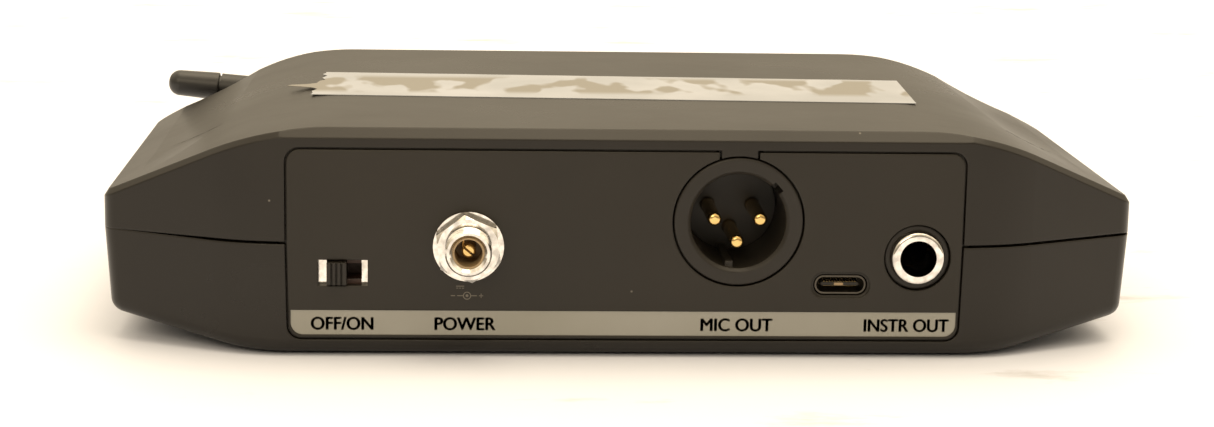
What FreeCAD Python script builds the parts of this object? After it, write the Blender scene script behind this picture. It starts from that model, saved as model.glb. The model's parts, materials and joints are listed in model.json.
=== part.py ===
import FreeCAD, Part

import math
import os

# Table-top wireless audio receiver, in millimetres.
# Frame: +X to the right when the connector side is faced, +Y from the connector side
# towards the display side, +Z up.  The origin is on the table, under the middle.

# ---------------------------------------------------------------- driving dimensions
HALF_WIDTH = 91.3          # middle to the flat side of a wing
HALF_DEPTH = 52.0          # middle to the connector or display face
HEIGHT = 40.0              # table to the flat top
FOOT_STAND = 0.4           # how far the rubber feet hold the case off the table
WALL = 2.2                 # thickness of both shells
SEAM_Z = 20.0              # parting line of the two shells
SEAM_GAP = 0.5             # visible shadow line at the parting line
SIDE_DRAFT = 4.0           # degrees, lower side walls lean in towards the bottom

TOP_FLAT, TOP_BEND_R, TOP_SLOPE = 51.2, 49.0, 25.1         # wing tops fall away
FLOOR_FLAT, FLOOR_BEND_R, FLOOR_SLOPE = 59.5, 56.0, 10.3   # wing undersides rise
PLAN_FLAT, PLAN_BEND_R, PLAN_SLOPE = 57.85, 31.4, 25.6     # wings sweep back in plan
REAR_CORNER_R, FRONT_CORNER_R = 3.5, 9.0     # upright corners of the wings
RIM_CHAMFER = 0.9          # small bevel around the whole top
FACE_BEVEL = 1.7           # wider flat bevel over each end panel, running out on the wings
KEEL_R = 2.6               # rounding all around the underside
SCOOP_R = 84.0             # dish along each wing: (x, y, depth) of its nose, bend and front
SCOOP_LAP = 2.0            # each half of the dish runs this far past the bend
SCOOP_NOSE, SCOOP_BEND, SCOOP_FRONT = (83.0, -37.0, 0.0), (78.6, -18.0, 0.28), (78.2, 60.0, 0.40)

PANEL_HALF = 58.4          # end panels, half width above the parting line
PANEL_FOOT_HALF = 58.1     # and at their bottom edge
PANEL_TOP, PANEL_BOTTOM = 36.3, 3.4
PANEL_R = 2.2
PANEL_GAP = 0.4
PANEL_SKIN = 1.5           # visible plate
PANEL_FLANGE = 1.0         # wider flange behind it, caught by the shells
FLANGE_LIP = 1.5
PANEL_BACK = PANEL_SKIN + PANEL_FLANGE
LIP_PLAY = 0.1             # between the shells' lip and the panel flange

STRIP_HALF, STRIP_BOTTOM, STRIP_TOP = 57.85, 3.9, 8.25
STRIP_T, STRIP_RECESS, STRIP_R = 0.25, 0.35, 2.1

TAPE_LENGTH, TAPE_WIDTH, TAPE_T = 112.0, 29.5, 0.12
TAPE_CENTRE_Y, TAPE_TURN = -1.6, -2.3

BOARD_TOP, BOARD_T = 11.4, 1.6
BOARD_HALF_X, BOARD_REAR, BOARD_FRONT = 57.0, -48.6, 39.0

SWITCH_X, SWITCH_Z = -48.85, 14.82          # middle of the switch window
SWITCH_W, SWITCH_H = 8.5, 4.55
KNOB_LEFT, KNOB_W, KNOB_H = -51.6, 3.4, 3.9
KNOB_PROUD = 1.1
SWITCH_TRAVEL = 2.4
SWITCH_FACE_Y = -50.4       # face of the metal frame, behind the window
SWITCH_BACK_Y, SLOT_BACK_Y = -43.6, -45.6
FRAME_HALF_W, FRAME_HALF_H, FRAME_SKIN = 5.75, 3.2, 0.4
BODY_HALF_W, BODY_HALF_H = 5.55, 2.8

DC_X, DC_Z = -27.3, 19.7
DC_BARREL_R, DC_BORE_R, DC_PIN_R = 4.0, 2.75, 1.2
DC_PROUD = 7.0
DC_WASHER_R = 6.1
DC_NUT_TURN = -83.0         # degrees, one corner points nearly straight down

XLR_X, XLR_Z = 19.3, 24.2
XLR_RING_R, XLR_HOLE_R, XLR_BORE_R = 11.2, 11.5, 8.3
XLR_DEPTH = 16.0
XLR_PIN_R, XLR_PIN_CIRCLE = 1.2, 4.0
XLR_PIN_RECESS = 1.8
XLR_TAIL_R = 0.6
TAB_LEFT, TAB_RIGHT, TAB_BOTTOM = 15.7, 22.7, 35.0   # shell tab above the socket

USB_X, USB_Z = 37.4, 13.05
USB_W, USB_H, USB_SKIN = 8.94, 3.26, 0.3
USB_TONGUE_W, USB_TONGUE_T = 6.69, 0.7

JACK_X, JACK_Z = 50.7, 18.0
JACK_HOLE_R, JACK_FERRULE_R, JACK_BORE_R = 5.85, 4.65, 3.2
JACK_PROUD = 1.0
JACK_DEPTH = 28.0

SCREW_X, SCREW_Y, SCREW_R, SCREW_TIP_Z = 70.0, 30.0, 1.25, 31.0
HEAD_R, HEAD_Z, HEAD_T = 2.3, 4.2, 1.8
UPPER_POST_R, LOWER_POST_R = 3.4, 4.0
LIP_T, LIP_DOWN, LIP_UP = 1.0, 2.0, 1.4     # tongue of the lower shell inside the upper one
BOARD_SCREW_R, BOARD_SCREW_HEAD_R = 1.1, 2.2
STANDOFF_R, STANDOFF_FLOOR = 2.8, 4.0
STANDOFFS = ((-52.0, -36.0), (-52.0, 33.0), (52.0, -15.0), (52.0, 33.0))
FOOT_X, FOOT_Y, FOOT_R, FOOT_T = 44.0, 38.0, 5.0, 1.6

WINDOW_X, WINDOW_Z, WINDOW_W, WINDOW_H, WINDOW_T = 20.0, 21.0, 52.0, 19.0, 1.2
BUTTON_TRAVEL = 0.5
BUTTON_PROUD = 0.5
BUTTON_GAP = 0.2
BUTTONS = {                                   # name: (x, z, width, height)
    "group_button": (-18.0, 26.5, 9.0, 4.4),
    "channel_button": (-32.0, 26.5, 9.0, 4.4),
    "link_button": (-46.0, 26.5, 9.0, 4.4),
    "level_up_button": (-18.0, 14.0, 6.4, 6.4),
    "level_down_button": (-32.0, 14.0, 6.4, 6.4),
}
LIGHT_XS, LIGHT_Z, LIGHT_R = (-42.5, -46.0, -49.5), 14.0, 1.0
CONTROL_BOARD_FRONT = 44.0
TACT_TIP_Y = 46.0

ANTENNA_X, ANTENNA_Y, ANTENNA_Z = 65.0, 56.1, 29.7   # where swivel and elbow axes cross
ANTENNA_LIFT = 5.0          # degrees that the folded mast points up
ANTENNA_LENGTH = 25.7
MAST_R, CAP_R = 2.8, 2.9
SHOULDER_AT, NECK_AT = 3.6, 14.7
FLANGE_R, FLANGE_BACK_Y, FLANGE_FRONT_Y = 4.4, 50.0, 52.1
BARREL_R, SWIVEL_R, EAR_R, ELBOW_R = 3.2, 2.0, 2.7, 0.8
ANTENNA_BOSS_R, ANTENNA_BOSS_Y = 6.0, 46.5           # thicker wall around each base
HINGE_CLEAR = 0.05          # running clearance of pins in their holes

X = FreeCAD.Vector(1, 0, 0)
Y = FreeCAD.Vector(0, 1, 0)
Z = FreeCAD.Vector(0, 0, 1)
OVER = 5.0                  # how far cutting tools run past a face


# ---------------------------------------------------------------- small helpers
def vec(x, y, z):
    return FreeCAD.Vector(x, y, z)


def box(x0, x1, y0, y1, z0, z1):
    return Part.makeBox(x1 - x0, y1 - y0, z1 - z0, vec(x0, y0, z0))


def rod_y(x, z, r, y0, y1):
    return Part.makeCylinder(r, y1 - y0, vec(x, y0, z), Y)


def rod_z(x, y, r, z0, z1):
    return Part.makeCylinder(r, z1 - z0, vec(x, y, z0), Z)


def tube_y(x, z, r_out, r_in, y0, y1):
    return rod_y(x, z, r_out, y0, y1).cut(rod_y(x, z, r_in, y0 - OVER, y1 + OVER))


def prism_y(edges, y0, y1):
    """Extrude a closed outline, drawn at y = 0, from y0 to y1."""
    face = Part.Face(Part.Wire(edges))
    face.translate(vec(0, y0, 0))
    return face.extrude(vec(0, y1 - y0, 0))


def polygon_y(points, y0, y1):
    corners = [vec(x, 0, z) for x, z in points]
    return prism_y(Part.makePolygon(corners + corners[:1]).Edges, y0, y1)


def rounded_bar_y(x, z, width, height, r, y0, y1):
    """Upright rectangular bar with rounded corners, along Y."""
    bar = box(x - width / 2, x + width / 2, y0, y1, z - height / 2, z + height / 2)
    along = [e for e in bar.Edges if abs(e.tangentAt(e.FirstParameter).y) > 0.9]
    return bar.makeFillet(r, along)


def hexagon_y(x, z, across_corners, turn, y0, y1):
    angles = [math.radians(turn + 60 * k) for k in range(6)]
    r = across_corners / 2
    return polygon_y([(x + r * math.cos(a), z + r * math.sin(a)) for a in angles], y0, y1)


def arc_edge(a, m, b):
    return Part.Arc(a, m, b).toShape()


def line_edge(a, b):
    return Part.LineSegment(a, b).toShape()


def bend_points(flat, radius, slope, level, fall, end):
    """Flat, arc, straight slope: start, arc middle, arc end, and slope end."""
    half, full = math.radians(slope / 2), math.radians(slope)
    middle = (flat + radius * math.sin(half), level + fall * radius * (1 - math.cos(half)))
    tail = (flat + radius * math.sin(full), level + fall * radius * (1 - math.cos(full)))
    last = (end, tail[1] + fall * (end - tail[0]) * math.tan(full))
    return [(flat, level), middle, tail, last]


def export(name, shape):
    shape.exportStep("parts/%s.step" % name)
    print("%-28s %2d solids %10.1f mm3" % (name, len(shape.Solids), shape.Volume))


# ---------------------------------------------------------------- outer form
def section_prism(inset):
    """The case's cross-section, the same all the way from rear to front."""
    side = HALF_WIDTH - inset
    top = bend_points(TOP_FLAT, TOP_BEND_R - inset, TOP_SLOPE, HEIGHT - inset, -1, side)
    floor = bend_points(
        FLOOR_FLAT, FLOOR_BEND_R - inset, FLOOR_SLOPE, FOOT_STAND + inset, 1, side)
    lean, rise = math.tan(math.radians(SIDE_DRAFT)), math.tan(math.radians(FLOOR_SLOPE))
    tail_x, tail_z = floor[2]
    keel_z = (tail_z + (side - SEAM_Z * lean - tail_x) * rise) / (1 - lean * rise)
    keel = (side - (SEAM_Z - keel_z) * lean, keel_z)

    def at(point, mirror=1):
        return vec(mirror * point[0], 0, point[1])

    edges = [line_edge(at(top[0], -1), at(top[0]))]
    for m in (1, -1):
        edges.append(arc_edge(at(top[0], m), at(top[1], m), at(top[2], m)))
        edges.append(line_edge(at(top[2], m), at(top[3], m)))
        edges.append(line_edge(at(top[3], m), vec(m * side, 0, SEAM_Z)))
        edges.append(line_edge(vec(m * side, 0, SEAM_Z), at(keel, m)))
        edges.append(line_edge(at(keel, m), at(floor[2], m)))
        edges.append(arc_edge(at(floor[2], m), at(floor[1], m), at(floor[0], m)))
    edges.append(line_edge(at(floor[0]), at(floor[0], -1)))
    reach = HALF_DEPTH + OVER
    return prism_y(Part.__sortEdges__(edges), -reach, reach)


def plan_prism(inset):
    """The case's outline from above, with open ends past the sides."""
    end = HALF_WIDTH + OVER
    face = HALF_DEPTH - inset
    front = bend_points(PLAN_FLAT, PLAN_BEND_R - inset, PLAN_SLOPE, face, -1, end)
    edges = []
    for m in (1, -1):
        for n in (1, -1):
            p = [vec(m * a, n * b, -OVER) for a, b in front]
            edges.append(arc_edge(p[0], p[1], p[2]))
            edges.append(line_edge(p[2], p[3]))
    for n in (1, -1):
        edges.append(line_edge(vec(-PLAN_FLAT, n * face, -OVER), vec(PLAN_FLAT, n * face, -OVER)))
    end_y = front[3][1]
    for m in (1, -1):
        edges.append(line_edge(vec(m * end, -end_y, -OVER), vec(m * end, end_y, -OVER)))
    outline = Part.Face(Part.Wire(Part.__sortEdges__(edges)))
    return outline.extrude(vec(0, 0, HEIGHT + 2 * OVER))


def block(inset):
    return section_prism(inset).common(plan_prism(inset))


def middle_of(edge):
    return edge.valueAt((edge.FirstParameter + edge.LastParameter) / 2)


def is_corner(edge, side):
    """Upright edges where a swept rear (side -1) or front (side 1) face meets a flat side."""
    m = middle_of(edge)
    direction = edge.tangentAt(edge.FirstParameter)
    near_side = abs(m.x) > HALF_WIDTH - 3 and 30 < side * m.y < 45
    return near_side and abs(direction.z) > 0.9


def is_rim(edge):
    """Edges where the rear, front and side walls meet the top or the underside."""
    m = middle_of(edge)
    direction = edge.tangentAt((edge.FirstParameter + edge.LastParameter) / 2)
    outside = abs(m.y) > 35 or abs(m.x) > HALF_WIDTH - 4
    return outside and abs(direction.z) < 0.5 and abs(m.z - SEAM_Z) > 5


def face_bevel(side):
    """Wedge that planes a flat bevel along the top of one end face."""
    reach = FACE_BEVEL + OVER
    corners = [vec(-HALF_WIDTH, side * (HALF_DEPTH - FACE_BEVEL - OVER), HEIGHT + OVER),
               vec(-HALF_WIDTH, side * (HALF_DEPTH + OVER), HEIGHT - FACE_BEVEL - OVER),
               vec(-HALF_WIDTH, side * (HALF_DEPTH + reach), HEIGHT + reach)]
    wedge = Part.Face(Part.makePolygon(corners + corners[:1]))
    return wedge.extrude(vec(2 * HALF_WIDTH, 0, 0))


def outer_form():
    form = block(0).removeSplitter()
    form = form.makeFillet(REAR_CORNER_R, [e for e in form.Edges if is_corner(e, -1)])
    form = form.makeFillet(FRONT_CORNER_R, [e for e in form.Edges if is_corner(e, 1)])
    top_rim = [e for e in form.Edges if is_rim(e) and middle_of(e).z > SEAM_Z]
    form = form.makeChamfer(RIM_CHAMFER, top_rim)
    bottom_rim = [e for e in form.Edges if is_rim(e) and middle_of(e).z < SEAM_Z]
    form = form.makeFillet(KEEL_R, bottom_rim)
    return form.cut([face_bevel(-1), face_bevel(1)])


def wing_scoop(mirror):
    """A shallow dish along each wing top, running out in a nose near the rear."""
    slope = math.radians(TOP_SLOPE)
    outward = vec(mirror * math.sin(slope), 0, math.cos(slope))

    def axis_point(place):
        x, y, depth = place
        straight = x - TOP_FLAT - TOP_BEND_R * math.sin(slope)
        surface_z = HEIGHT - TOP_BEND_R * (1 - math.cos(slope)) - straight * math.tan(slope)
        return vec(mirror * x, y, surface_z) + outward * (SCOOP_R - depth)

    nose, bend, front = axis_point(SCOOP_NOSE), axis_point(SCOOP_BEND), axis_point(SCOOP_FRONT)
    tip = Part.makeCylinder(SCOOP_R, (bend - nose).Length + SCOOP_LAP, nose, bend - nose)
    trough = Part.makeCylinder(SCOOP_R, (bend - front).Length + SCOOP_LAP, front, bend - front)
    return [tip, trough]


# ---------------------------------------------------------------- end panels
def panel_prism(grow, y0, y1):
    """The outline that both end panels share, grown evenly by a margin."""
    half, foot = PANEL_HALF + grow, PANEL_FOOT_HALF + grow
    top, bottom = PANEL_TOP + grow, PANEL_BOTTOM - grow
    points = [(-foot, bottom), (foot, bottom), (half, SEAM_Z), (half, top),
              (-half, top), (-half, SEAM_Z)]
    prism = polygon_y(points, y0, y1)
    upright = [e for e in prism.Edges if abs(e.tangentAt(e.FirstParameter).y) > 0.9
               and abs(middle_of(e).z - SEAM_Z) > 5]
    return prism.makeFillet(PANEL_R + grow, upright)


def panel_opening(side):
    """What an end panel takes out of the shells: a snug mouth and a wider pocket behind."""
    lip_back = HALF_DEPTH - PANEL_SKIN + LIP_PLAY
    mouth = sorted((side * (HALF_DEPTH + OVER), side * lip_back))
    pocket = sorted((side * lip_back, side * (HALF_DEPTH - PANEL_BACK - OVER)))
    snug = panel_prism(PANEL_GAP, *mouth)
    if side < 0:
        tab = box(TAB_LEFT + PANEL_GAP, TAB_RIGHT - PANEL_GAP, mouth[0], mouth[1],
                  TAB_BOTTOM, PANEL_TOP + OVER)
        snug = snug.cut(tab)
    return snug.fuse(panel_prism(FLANGE_LIP + PANEL_GAP, *pocket))


def panel_plate(side):
    face, middle, back = [side * (HALF_DEPTH - d) for d in (0, PANEL_SKIN, PANEL_BACK)]
    skin = panel_prism(0, *sorted((face, middle)))
    return skin.fuse(panel_prism(FLANGE_LIP, *sorted((middle, back))))


def rear_panel():
    y0, y1 = -HALF_DEPTH - OVER, -HALF_DEPTH + PANEL_BACK + OVER
    plate = panel_plate(-1)
    notch = box(TAB_LEFT, TAB_RIGHT, y0, -HALF_DEPTH + PANEL_SKIN, TAB_BOTTOM - 1, PANEL_TOP + 1)
    usb = rounded_bar_y(USB_X, USB_Z, USB_W + 0.5, USB_H + 0.5, 1.8, y0, y1)
    usb_bevel = rounded_bar_y(USB_X, USB_Z, USB_W + 1.3, USB_H + 1.3, 2.2, y0, -HALF_DEPTH + 0.4)
    switch = box(SWITCH_X - SWITCH_W / 2, SWITCH_X + SWITCH_W / 2, y0, y1,
                 SWITCH_Z - SWITCH_H / 2, SWITCH_Z + SWITCH_H / 2)
    switch_pocket = box(SWITCH_X - FRAME_HALF_W - 0.2, SWITCH_X + FRAME_HALF_W + 0.2,
                        -HALF_DEPTH + PANEL_SKIN, y1,
                        SWITCH_Z - FRAME_HALF_H - 0.2, SWITCH_Z + FRAME_HALF_H + 0.2)
    tools = [notch, usb, usb_bevel, switch, switch_pocket,
             rod_y(XLR_X, XLR_Z, XLR_HOLE_R, y0, y1),
             rod_y(DC_X, DC_Z, DC_BARREL_R + 0.05, y0, y1),
             rod_y(JACK_X, JACK_Z, JACK_HOLE_R, y0, y1),
             label_strip(-HALF_DEPTH - OVER, -HALF_DEPTH + STRIP_RECESS)]
    return plate.cut(tools)


def label_strip(y0, y1):
    strip = box(-STRIP_HALF, STRIP_HALF, y0, y1, STRIP_BOTTOM, STRIP_TOP)
    lower = [e for e in strip.Edges if abs(e.tangentAt(e.FirstParameter).y) > 0.9
             and middle_of(e).z < (STRIP_BOTTOM + STRIP_TOP) / 2]
    return strip.makeFillet(STRIP_R, lower)


def button_bar(name, grow, y0, y1):
    x, z, width, height = BUTTONS[name]
    radius = height / 2 - 0.05 + grow
    return rounded_bar_y(x, z, width + 2 * grow, height + 2 * grow, radius, y0, y1)


def front_panel():
    y0, y1 = HALF_DEPTH - PANEL_BACK - OVER, HALF_DEPTH + OVER
    tools = [rounded_bar_y(WINDOW_X, WINDOW_Z, WINDOW_W, WINDOW_H, 1.5,
                           HALF_DEPTH - WINDOW_T, y1),
             rounded_bar_y(WINDOW_X, WINDOW_Z, WINDOW_W - 4, WINDOW_H - 4, 1.0, y0, y1)]
    tools += [button_bar(name, BUTTON_GAP, y0, y1) for name in BUTTONS]
    tools += [rod_y(x, LIGHT_Z, LIGHT_R, y0, y1) for x in LIGHT_XS]
    return panel_plate(1).cut(tools)


# ---------------------------------------------------------------- shells
def corner_points(x, y):
    return [(m * x, n * y) for m in (1, -1) for n in (1, -1)]


def wide_slab(low, high):
    """A slab wider than the case, to keep what lies between two heights."""
    return box(-2 * HALF_WIDTH, 2 * HALF_WIDTH, -2 * HALF_DEPTH, 2 * HALF_DEPTH, low, high)


def case_shell(form, low, high):
    return form.cut(block(WALL)).common(wide_slab(low, high))


def openings():
    cuts = [panel_opening(-1), panel_opening(1)]
    cuts.append(rod_y(XLR_X, XLR_Z, XLR_HOLE_R, -HALF_DEPTH - OVER, -HALF_DEPTH + 2 * OVER))
    for side in (-1, 1):
        x = side * ANTENNA_X
        cuts.append(rod_y(x, ANTENNA_Z, BARREL_R, 40, HALF_DEPTH + OVER))
        cuts.append(rod_y(x, ANTENNA_Z, FLANGE_R, FLANGE_BACK_Y, HALF_DEPTH + OVER))
    return cuts


def upper_shell(form):
    shell = case_shell(form, SEAM_Z + SEAM_GAP / 2, HEIGHT + OVER)
    inside_top = form.common(wide_slab(SEAM_Z + SEAM_GAP / 2, HEIGHT + OVER))
    screws = corner_points(SCREW_X, SCREW_Y)
    posts = [rod_z(x, y, UPPER_POST_R, SEAM_Z + SEAM_GAP / 2, HEIGHT) for x, y in screws]
    posts += [rod_y(side * ANTENNA_X, ANTENNA_Z, ANTENNA_BOSS_R, ANTENNA_BOSS_Y, HALF_DEPTH - 1)
              for side in (-1, 1)]
    posts = [post.common(inside_top) for post in posts]
    pilots = [rod_z(x, y, SCREW_R, 0, SCREW_TIP_Z) for x, y in screws]
    scoops = wing_scoop(1) + wing_scoop(-1)
    shell = shell.fuse(posts).cut(openings() + pilots + scoops)
    return shell.removeSplitter()


def lower_shell(form):
    top = SEAM_Z - SEAM_GAP / 2
    shell = case_shell(form, 0, top)
    lip = block(WALL).cut(block(WALL + LIP_T)).common(wide_slab(SEAM_Z - LIP_DOWN, SEAM_Z + LIP_UP))
    inside = form.common(wide_slab(0, top))
    screws, feet = corner_points(SCREW_X, SCREW_Y), corner_points(FOOT_X, FOOT_Y)
    posts = [rod_z(x, y, LOWER_POST_R, 0, top) for x, y in screws]
    posts += [rod_z(x, y, STANDOFF_R, 0, BOARD_TOP - BOARD_T) for x, y in STANDOFFS]
    posts = [post.common(inside) for post in posts]
    holes = [rod_z(x, y, SCREW_R + 0.2, 0, SEAM_Z + OVER) for x, y in screws]
    holes += [rod_z(x, y, HEAD_R + 0.3, 0, HEAD_Z + HEAD_T) for x, y in screws]
    holes += [rod_z(x, y, FOOT_R + 0.1, -1, FOOT_T) for x, y in feet]
    holes += [rod_z(x, y, BOARD_SCREW_R, STANDOFF_FLOOR, SEAM_Z) for x, y in STANDOFFS]
    return shell.fuse([lip] + posts).cut(openings() + holes).removeSplitter()


def case_screws():
    screws = []
    for x, y in corner_points(SCREW_X, SCREW_Y):
        head = rod_z(x, y, HEAD_R, HEAD_Z, HEAD_Z + HEAD_T)
        socket = Part.makeCone(1.4, 0.2, 1.2, vec(x, y, HEAD_Z), Z)
        shank = rod_z(x, y, SCREW_R, HEAD_Z + HEAD_T, SCREW_TIP_Z - 1.0)
        screws.append(head.fuse(shank).cut(socket))
    return Part.makeCompound(screws)


def rubber_feet():
    feet = []
    for x, y in corner_points(FOOT_X, FOOT_Y):
        foot = rod_z(x, y, FOOT_R, 0, FOOT_T)
        rim = [e for e in foot.Edges if middle_of(e).z < 0.1 and e.Closed]
        feet.append(foot.makeFillet(0.3, rim))
    return Part.makeCompound(feet)


def top_label_tape():
    tape = box(-TAPE_LENGTH / 2, TAPE_LENGTH / 2, -TAPE_WIDTH / 2, TAPE_WIDTH / 2,
               HEIGHT, HEIGHT + TAPE_T)
    tape.rotate(vec(0, 0, 0), Z, TAPE_TURN)
    tape.translate(vec(0, TAPE_CENTRE_Y, 0))
    return tape


# ---------------------------------------------------------------- circuit boards
def main_board():
    board = box(-BOARD_HALF_X, BOARD_HALF_X, BOARD_REAR, BOARD_FRONT,
                BOARD_TOP - BOARD_T, BOARD_TOP)
    holes = [rod_z(x, y, 1.3, 0, HEIGHT) for x, y in STANDOFFS]
    return board.cut(holes)


def board_screws():
    screws = []
    for x, y in STANDOFFS:
        head = rod_z(x, y, BOARD_SCREW_HEAD_R, BOARD_TOP, BOARD_TOP + 1.6)
        slot = box(x - 1.6, x + 1.6, y - 0.25, y + 0.25, BOARD_TOP + 1.0, BOARD_TOP + 2.0)
        shank = rod_z(x, y, BOARD_SCREW_R, STANDOFF_FLOOR + 0.4, BOARD_TOP)
        screws.append(head.fuse(shank).cut(slot))
    return Part.makeCompound(screws)


def board_chips():
    """Radio, audio and control chips and a row of round capacitors on the main board."""
    sizes = [(-34, 8, 12, 12, 1.4), (-12, -8, 8, 8, 1.2), (8, -14, 10, 6, 1.6),
             (-40, -22, 7, 5, 1.4), (36, -8, 6, 8, 1.4), (-8, 22, 14, 8, 1.3)]
    chips = [box(x - w / 2, x + w / 2, y - d / 2, y + d / 2, BOARD_TOP, BOARD_TOP + h)
             for x, y, w, d, h in sizes]
    chips += [rod_z(-14 + 7 * k, 4, 2.5, BOARD_TOP, BOARD_TOP + 6) for k in range(3)]
    return Part.makeCompound(chips)


def rf_shield_can():
    outer = box(16, 48, 8, 34, BOARD_TOP, BOARD_TOP + 4)
    inner = box(16.3, 47.7, 8.3, 33.7, BOARD_TOP - 1, BOARD_TOP + 3.7)
    vents = [rod_z(22 + 5 * i, 14 + 5 * j, 0.8, BOARD_TOP, BOARD_TOP + OVER)
             for i in range(5) for j in range(4)]
    return outer.cut([inner] + vents)


def control_board():
    back = CONTROL_BOARD_FRONT - BOARD_T
    return box(-55, 55, back, CONTROL_BOARD_FRONT, 5.5, 34.5)


def tact_switches():
    switches = []
    for x, z, _, _ in BUTTONS.values():
        body = box(x - 3, x + 3, CONTROL_BOARD_FRONT, CONTROL_BOARD_FRONT + 1.5, z - 3, z + 3)
        plunger = rod_y(x, z, 1.6, CONTROL_BOARD_FRONT + 1.5, TACT_TIP_Y)
        switches.append(body.fuse(plunger))
    return Part.makeCompound(switches)


def display_module():
    return box(WINDOW_X - WINDOW_W / 2 + 1, WINDOW_X + WINDOW_W / 2 - 1, CONTROL_BOARD_FRONT,
               HALF_DEPTH - PANEL_BACK - 0.3, WINDOW_Z - WINDOW_H / 2, WINDOW_Z + WINDOW_H / 2)


def display_window():
    return rounded_bar_y(WINDOW_X, WINDOW_Z, WINDOW_W - 0.1, WINDOW_H - 0.1, 1.45,
                         HALF_DEPTH - WINDOW_T, HALF_DEPTH - 0.05)


def display_ribbon():
    """Flat flexible cable from the main board up to the control board."""
    back = CONTROL_BOARD_FRONT - BOARD_T
    flat = box(-40, -24, 30, 40.9, BOARD_TOP, BOARD_TOP + 0.3)
    rise = box(-40, -24, 40.6, 40.9, BOARD_TOP, 18)
    tail = box(-40, -24, 40.6, back, 17.7, 18)
    return flat.fuse([rise, tail]).removeSplitter()


def light_pipes():
    pipes = []
    for x in LIGHT_XS:
        pipes.append(rod_y(x, LIGHT_Z, LIGHT_R - 0.03, CONTROL_BOARD_FRONT + 1.2, HALF_DEPTH + 0.1))
    return Part.makeCompound(pipes)


def status_leds():
    leds = [box(x - 0.8, x + 0.8, CONTROL_BOARD_FRONT, CONTROL_BOARD_FRONT + 1.0,
                LIGHT_Z - 0.5, LIGHT_Z + 0.5) for x in LIGHT_XS]
    return Part.makeCompound(leds)


def button(name):
    x, z, _, _ = BUTTONS[name]
    inner = HALF_DEPTH - PANEL_BACK - 0.3
    cap = button_bar(name, 0, inner - 1.0, HALF_DEPTH + BUTTON_PROUD)
    edge = [e for e in cap.Edges if middle_of(e).y > HALF_DEPTH + BUTTON_PROUD - 0.01]
    cap = cap.makeFillet(0.4, edge)
    collar = button_bar(name, 0.8, inner - 1.0, inner)
    stem = rod_y(x, z, 1.4, TACT_TIP_Y + BUTTON_TRAVEL + 0.25, inner - 1.0)
    return cap.fuse([collar, stem]).removeSplitter()


# ---------------------------------------------------------------- power switch
def switch_slot(grow, y0, y1):
    left = KNOB_LEFT - 0.15 - grow
    right = KNOB_LEFT + KNOB_W + SWITCH_TRAVEL + 0.15 + grow
    return box(left, right, y0, y1, SWITCH_Z - 1.4 - grow, SWITCH_Z + 1.4 + grow)


def power_switch_frame():
    """Folded metal frame: a slotted face plate with a lip above and below the body."""
    outer = box(SWITCH_X - FRAME_HALF_W, SWITCH_X + FRAME_HALF_W, SWITCH_FACE_Y, SWITCH_BACK_Y - 0.4,
                SWITCH_Z - FRAME_HALF_H, SWITCH_Z + FRAME_HALF_H)
    inner = box(SWITCH_X - OVER - FRAME_HALF_W, SWITCH_X + OVER + FRAME_HALF_W,
                SWITCH_FACE_Y + FRAME_SKIN, SWITCH_BACK_Y + OVER,
                SWITCH_Z - BODY_HALF_H, SWITCH_Z + BODY_HALF_H)
    slot = switch_slot(0, SWITCH_FACE_Y - OVER, SWITCH_BACK_Y + OVER)
    return outer.cut([inner, slot] + switch_legs(0.6))


def switch_legs(half):
    return [box(SWITCH_X + dx - half, SWITCH_X + dx + half, SWITCH_BACK_Y - 1.4, SWITCH_BACK_Y - 0.8,
                BOARD_TOP, SWITCH_Z - BODY_HALF_H) for dx in (-2.5, 0, 2.5)]


def power_switch_body():
    body = box(SWITCH_X - BODY_HALF_W, SWITCH_X + BODY_HALF_W, SWITCH_FACE_Y + FRAME_SKIN, SWITCH_BACK_Y,
               SWITCH_Z - BODY_HALF_H, SWITCH_Z + BODY_HALF_H)
    body = body.cut(switch_slot(0, SWITCH_FACE_Y - OVER, SLOT_BACK_Y))
    return body.fuse(switch_legs(0.4))


def power_switch_slider():
    right = KNOB_LEFT + KNOB_W
    face = -HALF_DEPTH - KNOB_PROUD
    knob = box(KNOB_LEFT, right, face, SWITCH_FACE_Y - 0.2,
               SWITCH_Z - KNOB_H / 2, SWITCH_Z + KNOB_H / 2)
    pitch = KNOB_W / 4
    grooves = [box(KNOB_LEFT + pitch * k - 0.16, KNOB_LEFT + pitch * k + 0.16, face - 1, face + 0.35,
                   SWITCH_Z - KNOB_H, SWITCH_Z + KNOB_H) for k in (1, 2, 3)]
    stem = box(KNOB_LEFT, right, SWITCH_FACE_Y - 0.2, SLOT_BACK_Y - 0.3,
               SWITCH_Z - 1.25, SWITCH_Z + 1.25)
    return knob.cut(grooves).fuse(stem).removeSplitter()


# ---------------------------------------------------------------- power inlet
def threaded_barrel(x, z, r, pitch, depth, y_tip, y_end):
    """Outside of a barrel with ring grooves for its thread, on a Y axis."""
    points = [vec(0, y_tip, 0), vec(r - depth, y_tip, 0)]
    turns = int((y_end - y_tip) / pitch)
    for k in range(turns):
        base = y_tip + 0.15 + k * pitch
        points.append(vec(r, base + 0.3 * pitch, 0))
        points.append(vec(r, base + 0.45 * pitch, 0))
        points.append(vec(r - depth, base + 0.8 * pitch, 0))
    points += [vec(r, y_end, 0), vec(0, y_end, 0)]
    face = Part.Face(Part.makePolygon(points + points[:1]))
    barrel = face.revolve(vec(0, 0, 0), Y, 360)
    barrel.translate(vec(x, 0, z))
    return barrel


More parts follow.
